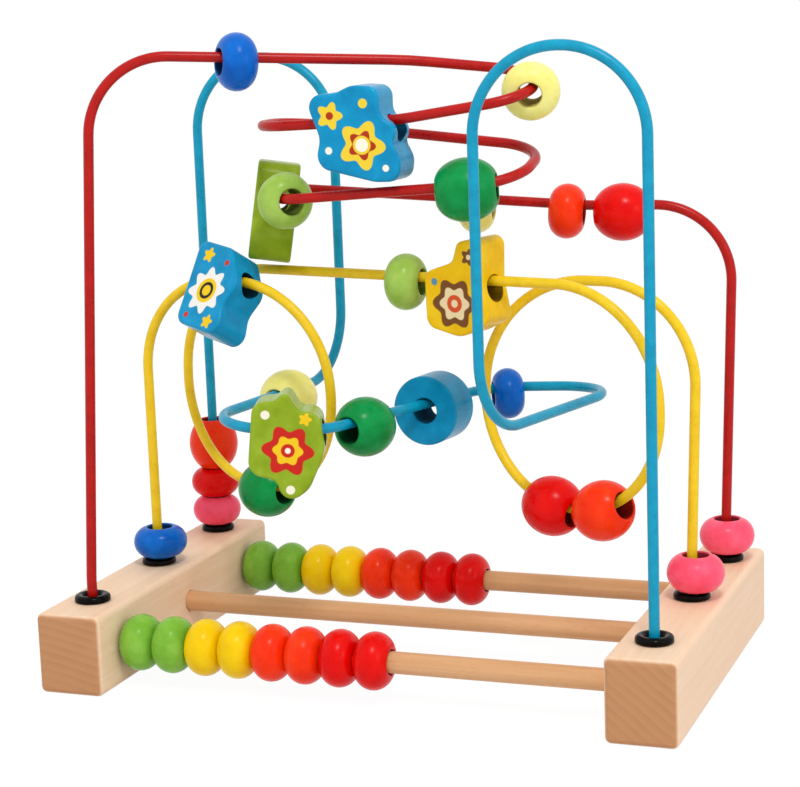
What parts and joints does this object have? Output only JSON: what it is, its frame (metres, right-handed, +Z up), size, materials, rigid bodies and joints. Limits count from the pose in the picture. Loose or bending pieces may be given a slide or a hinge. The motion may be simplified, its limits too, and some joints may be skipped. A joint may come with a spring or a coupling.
{
  "type": "wooden abacus bead maze",
  "caption": "Wooden counting toy: two blocks joined by dowels with sliding bead rows, under three bent painted wires that carry threaded beads and sawn shapes.",
  "frame": {"origin": "middle of the base, on the table", "axes": "+X along the dowels from the left block to the right, +Y along the blocks from front to back, +Z up"},
  "size_m": [0.2536, 0.16, 0.2511],
  "materials": {
    "beech": "sanded, clear matt lacquer",
    "beech_dowel": "sanded, clear matt lacquer",
    "bush_plastic": "moulded black",
    "red_wire": "gloss powder coat",
    "yellow_wire": "gloss powder coat",
    "blue_wire": "gloss powder coat",
    "red": "gloss paint",
    "orange": "gloss paint",
    "yellow": "gloss paint",
    "green": "gloss paint",
    "dark_green": "gloss paint",
    "light_green": "gloss paint",
    "pale_yellow": "gloss paint",
    "blue": "gloss paint",
    "sky_blue": "gloss paint",
    "pink": "gloss paint",
    "olive": "gloss paint",
    "gold": "gloss paint"
  },
  "bodies": {
    "frame": {"end_block_left": "beech", "bush_left_front": "bush_plastic", "bush_left_middle": "bush_plastic", "bush_left_rear": "bush_plastic", "end_block_right": "beech", "bush_right_front": "bush_plastic", "bush_right_middle": "bush_plastic", "bush_right_rear": "bush_plastic", "dowel_front": "beech_dowel", "dowel_middle": "beech_dowel", "dowel_rear": "beech_dowel", "wire_red": "red_wire", "wire_yellow": "yellow_wire", "wire_blue": "blue_wire"},
    "front_row_bead_1_green": {"front_row_bead_1_green": "green"},
    "front_row_bead_2_green": {"front_row_bead_2_green": "green"},
    "front_row_bead_3_yellow": {"front_row_bead_3_yellow": "yellow"},
    "front_row_bead_4_yellow": {"front_row_bead_4_yellow": "yellow"},
    "front_row_bead_5_orange": {"front_row_bead_5_orange": "orange"},
    "front_row_bead_6_orange": {"front_row_bead_6_orange": "orange"},
    "front_row_bead_7_red": {"front_row_bead_7_red": "red"},
    "front_row_bead_8_red": {"front_row_bead_8_red": "red"},
    "rear_row_bead_1_green": {"rear_row_bead_1_green": "green"},
    "rear_row_bead_2_green": {"rear_row_bead_2_green": "green"},
    "rear_row_bead_3_yellow": {"rear_row_bead_3_yellow": "yellow"},
    "rear_row_bead_4_yellow": {"rear_row_bead_4_yellow": "yellow"},
    "rear_row_bead_5_orange": {"rear_row_bead_5_orange": "orange"},
    "rear_row_bead_6_orange": {"rear_row_bead_6_orange": "orange"},
    "rear_row_bead_7_red": {"rear_row_bead_7_red": "red"},
    "rear_row_bead_8_red": {"rear_row_bead_8_red": "red"},
    "red_wire_bead_blue": {"red_wire_bead_blue": "blue"},
    "red_wire_bead_pale_yellow_front": {"red_wire_bead_pale_yellow_front": "pale_yellow"},
    "red_wire_shape_lobed": {"red_wire_shape_lobed": "sky_blue"},
    "red_wire_barrel_green": {"red_wire_barrel_green": "dark_green"},
    "red_wire_bead_light_green": {"red_wire_bead_light_green": "light_green"},
    "red_wire_shape_waisted": {"red_wire_shape_waisted": "olive"},
    "red_wire_bead_pale_yellow_rear": {"red_wire_bead_pale_yellow_rear": "pale_yellow"},
    "red_wire_bead_orange": {"red_wire_bead_orange": "orange"},
    "red_wire_ball_red": {"red_wire_ball_red": "red"},
    "red_wire_bead_pink": {"red_wire_bead_pink": "pink"},
    "yellow_wire_bead_blue": {"yellow_wire_bead_blue": "blue"},
    "yellow_wire_shape_wavy": {"yellow_wire_shape_wavy": "sky_blue"},
    "yellow_wire_ball_dark_green": {"yellow_wire_ball_dark_green": "dark_green"},
    "yellow_wire_bead_light_green": {"yellow_wire_bead_light_green": "light_green"},
    "yellow_wire_shape_tulip": {"yellow_wire_shape_tulip": "gold"},
    "yellow_wire_ball_orange": {"yellow_wire_ball_orange": "orange"},
    "yellow_wire_ball_red": {"yellow_wire_ball_red": "red"},
    "yellow_wire_bead_pink": {"yellow_wire_bead_pink": "pink"},
    "blue_wire_bead_pink": {"blue_wire_bead_pink": "pink"},
    "blue_wire_bead_red": {"blue_wire_bead_red": "red"},
    "blue_wire_ball_orange": {"blue_wire_ball_orange": "orange"},
    "blue_wire_ball_pale_yellow": {"blue_wire_ball_pale_yellow": "pale_yellow"},
    "blue_wire_shape_pear": {"blue_wire_shape_pear": "olive"},
    "blue_wire_ball_dark_green": {"blue_wire_ball_dark_green": "dark_green"},
    "blue_wire_disc": {"blue_wire_disc": "sky_blue"},
    "blue_wire_bead_blue": {"blue_wire_bead_blue": "blue"}
  },
  "joints": [
    {"name": "front_row_bead_1_green_slide", "type": "slide", "parent": "frame", "child": "front_row_bead_1_green", "axis": [1, 0, 0], "range_m": [0, 0.087]},
    {"name": "front_row_bead_2_green_slide", "type": "slide", "parent": "frame", "child": "front_row_bead_2_green", "axis": [1, 0, 0], "range_m": [0, 0.087]},
    {"name": "front_row_bead_3_yellow_slide", "type": "slide", "parent": "frame", "child": "front_row_bead_3_yellow", "axis": [1, 0, 0], "range_m": [0, 0.087]},
    {"name": "front_row_bead_4_yellow_slide", "type": "slide", "parent": "frame", "child": "front_row_bead_4_yellow", "axis": [1, 0, 0], "range_m": [0, 0.087]},
    {"name": "front_row_bead_5_orange_slide", "type": "slide", "parent": "frame", "child": "front_row_bead_5_orange", "axis": [1, 0, 0], "range_m": [0, 0.087]},
    {"name": "front_row_bead_6_orange_slide", "type": "slide", "parent": "frame", "child": "front_row_bead_6_orange", "axis": [1, 0, 0], "range_m": [0, 0.087]},
    {"name": "front_row_bead_7_red_slide", "type": "slide", "parent": "frame", "child": "front_row_bead_7_red", "axis": [1, 0, 0], "range_m": [0, 0.087]},
    {"name": "front_row_bead_8_red_slide", "type": "slide", "parent": "frame", "child": "front_row_bead_8_red", "axis": [1, 0, 0], "range_m": [0, 0.087]},
    {"name": "rear_row_bead_1_green_slide", "type": "slide", "parent": "frame", "child": "rear_row_bead_1_green", "axis": [1, 0, 0], "range_m": [0, 0.087]},
    {"name": "rear_row_bead_2_green_slide", "type": "slide", "parent": "frame", "child": "rear_row_bead_2_green", "axis": [1, 0, 0], "range_m": [0, 0.087]},
    {"name": "rear_row_bead_3_yellow_slide", "type": "slide", "parent": "frame", "child": "rear_row_bead_3_yellow", "axis": [1, 0, 0], "range_m": [0, 0.087]},
    {"name": "rear_row_bead_4_yellow_slide", "type": "slide", "parent": "frame", "child": "rear_row_bead_4_yellow", "axis": [1, 0, 0], "range_m": [0, 0.087]},
    {"name": "rear_row_bead_5_orange_slide", "type": "slide", "parent": "frame", "child": "rear_row_bead_5_orange", "axis": [1, 0, 0], "range_m": [0, 0.087]},
    {"name": "rear_row_bead_6_orange_slide", "type": "slide", "parent": "frame", "child": "rear_row_bead_6_orange", "axis": [1, 0, 0], "range_m": [0, 0.087]},
    {"name": "rear_row_bead_7_red_slide", "type": "slide", "parent": "frame", "child": "rear_row_bead_7_red", "axis": [1, 0, 0], "range_m": [0, 0.087]},
    {"name": "rear_row_bead_8_red_slide", "type": "slide", "parent": "frame", "child": "rear_row_bead_8_red", "axis": [1, 0, 0], "range_m": [0, 0.087]},
    {"name": "red_wire_bead_blue_slide", "type": "slide", "parent": "frame", "child": "red_wire_bead_blue", "axis": [0.9115, 0.408, -0.0515], "range_m": [-0.012, 0.024]},
    {"name": "red_wire_bead_pale_yellow_front_turn", "type": "hinge", "parent": "frame", "child": "red_wire_bead_pale_yellow_front", "pos_m": [0.04291, -0.00633, 0.22486], "axis": [0.1422, 0.2155, -0.9661], "range_deg": [-5, 75]},
    {"name": "red_wire_shape_lobed_slide", "type": "slide", "parent": "frame", "child": "red_wire_shape_lobed", "axis": [-0.9994, 0, -0.0357], "range_m": [0, 0.009]},
    {"name": "red_wire_barrel_green_slide", "type": "slide", "parent": "frame", "child": "red_wire_barrel_green", "axis": [-0.9976, 0, -0.0693], "range_m": [0, 0.008]},
    {"name": "red_wire_bead_light_green_turn", "type": "hinge", "parent": "frame", "child": "red_wire_bead_light_green", "pos_m": [-0.03253, -0.00601, 0.18759], "axis": [0.0693, 0.0359, -0.997], "range_deg": [-20, 0]},
    {"name": "red_wire_shape_waisted_swing", "type": "hinge", "parent": "frame", "child": "red_wire_shape_waisted", "pos_m": [-0.05736, 0.01157, 0.1865], "axis": [-0.4601, 0.8879, 0], "range_deg": [-18, 15]},
    {"name": "red_wire_bead_pale_yellow_rear_slide", "type": "slide", "parent": "frame", "child": "red_wire_bead_pale_yellow_rear", "axis": [0.9868, 0.1448, -0.0724], "range_m": [-0.044, 0.02]},
    {"name": "red_wire_bead_orange_slide", "type": "slide", "parent": "frame", "child": "red_wire_bead_orange", "axis": [0.9868, 0.1448, -0.0724], "range_m": [-0.02, 0]},
    {"name": "red_wire_ball_red_slide", "type": "slide", "parent": "frame", "child": "red_wire_ball_red", "axis": [0.9977, 0.0678, 0], "range_m": [-0.002, 0.004]},
    {"name": "red_wire_bead_pink_slide", "type": "slide", "parent": "frame", "child": "red_wire_bead_pink", "axis": [0.0287, 0, 0.9996], "range_m": [0, 0.09]},
    {"name": "yellow_wire_bead_blue_slide", "type": "slide", "parent": "frame", "child": "yellow_wire_bead_blue", "axis": [0, 0, 1], "range_m": [0, 0.06]},
    {"name": "yellow_wire_shape_wavy_slide", "type": "slide", "parent": "frame", "child": "yellow_wire_shape_wavy", "axis": [0.986, -0.1668, 0], "range_m": [-0.009, 0]},
    {"name": "yellow_wire_ball_dark_green_turn", "type": "hinge", "parent": "frame", "child": "yellow_wire_ball_dark_green", "pos_m": [-0.06605, 0.00477, 0.1088], "axis": [0.4058, 0.9129, 0.045], "range_deg": [-60, 0]},
    {"name": "yellow_wire_bead_light_green_slide", "type": "slide", "parent": "frame", "child": "yellow_wire_bead_light_green", "axis": [0.9639, -0.2663, 0.0053], "range_m": [-0.035, 0.002]},
    {"name": "yellow_wire_shape_tulip_slide", "type": "slide", "parent": "frame", "child": "yellow_wire_shape_tulip", "axis": [0.9639, -0.2663, 0.0053], "range_m": [-0.002, 0.02]},
    {"name": "yellow_wire_ball_orange_turn", "type": "hinge", "parent": "frame", "child": "yellow_wire_ball_orange", "pos_m": [0.06975, -0.01062, 0.10988], "axis": [0.4049, 0.9133, 0.0448], "range_deg": [-60, 0]},
    {"name": "yellow_wire_ball_red_turn", "type": "hinge", "parent": "frame", "child": "yellow_wire_ball_red", "pos_m": [0.06845, -0.00572, 0.1098], "axis": [0.4067, 0.9123, -0.0475], "range_deg": [0, 50]},
    {"name": "yellow_wire_bead_pink_slide", "type": "slide", "parent": "frame", "child": "yellow_wire_bead_pink", "axis": [0.0295, 0, 0.9996], "range_m": [0, 0.058]},
    {"name": "blue_wire_bead_pink_slide", "type": "slide", "parent": "frame", "child": "blue_wire_bead_pink", "axis": [0, 0, 1], "range_m": [0, 0.115]},
    {"name": "blue_wire_bead_red_slide", "type": "slide", "parent": "frame", "child": "blue_wire_bead_red", "axis": [0, 0, 1], "range_m": [0, 0.115]},
    {"name": "blue_wire_ball_orange_slide", "type": "slide", "parent": "frame", "child": "blue_wire_ball_orange", "axis": [0, 0, 1], "range_m": [0, 0.115]},
    {"name": "blue_wire_ball_pale_yellow_slide", "type": "slide", "parent": "frame", "child": "blue_wire_ball_pale_yellow", "axis": [-0.1293, -0.9916, 0], "range_m": [-0.008, 0.03]},
    {"name": "blue_wire_shape_pear_turn", "type": "hinge", "parent": "frame", "child": "blue_wire_shape_pear", "pos_m": [-0.03517, -0.0326, 0.10359], "axis": [0.0415, 0.0069, 0.9991], "range_deg": [-12, 15]},
    {"name": "blue_wire_ball_dark_green_slide", "type": "slide", "parent": "frame", "child": "blue_wire_ball_dark_green", "axis": [0.2858, 0.9581, -0.0185], "range_m": [-0.002, 0.022]},
    {"name": "blue_wire_disc_slide", "type": "slide", "parent": "frame", "child": "blue_wire_disc", "axis": [0.2858, 0.9581, -0.0185], "range_m": [-0.022, 0.01]},
    {"name": "blue_wire_bead_blue_turn", "type": "hinge", "parent": "frame", "child": "blue_wire_bead_blue", "pos_m": [0.03516, 0.03261, 0.1023], "axis": [0.0406, -0.0314, -0.9987], "range_deg": [-30, 20]}
  ],
  "couplings": [
    {"joint": "front_row_bead_2_green_slide", "follows": "front_row_bead_1_green_slide", "ratio": 1},
    {"joint": "front_row_bead_3_yellow_slide", "follows": "front_row_bead_1_green_slide", "ratio": 1},
    {"joint": "front_row_bead_4_yellow_slide", "follows": "front_row_bead_1_green_slide", "ratio": 1},
    {"joint": "front_row_bead_5_orange_slide", "follows": "front_row_bead_1_green_slide", "ratio": 1},
    {"joint": "front_row_bead_6_orange_slide", "follows": "front_row_bead_1_green_slide", "ratio": 1},
    {"joint": "front_row_bead_7_red_slide", "follows": "front_row_bead_1_green_slide", "ratio": 1},
    {"joint": "front_row_bead_8_red_slide", "follows": "front_row_bead_1_green_slide", "ratio": 1},
    {"joint": "rear_row_bead_2_green_slide", "follows": "rear_row_bead_1_green_slide", "ratio": 1},
    {"joint": "rear_row_bead_3_yellow_slide", "follows": "rear_row_bead_1_green_slide", "ratio": 1},
    {"joint": "rear_row_bead_4_yellow_slide", "follows": "rear_row_bead_1_green_slide", "ratio": 1},
    {"joint": "rear_row_bead_5_orange_slide", "follows": "rear_row_bead_1_green_slide", "ratio": 1},
    {"joint": "rear_row_bead_6_orange_slide", "follows": "rear_row_bead_1_green_slide", "ratio": 1},
    {"joint": "rear_row_bead_7_red_slide", "follows": "rear_row_bead_1_green_slide", "ratio": 1},
    {"joint": "rear_row_bead_8_red_slide", "follows": "rear_row_bead_1_green_slide", "ratio": 1},
    {"joint": "blue_wire_bead_red_slide", "follows": "blue_wire_bead_pink_slide", "ratio": 1},
    {"joint": "blue_wire_ball_orange_slide", "follows": "blue_wire_bead_pink_slide", "ratio": 1}
  ]
}
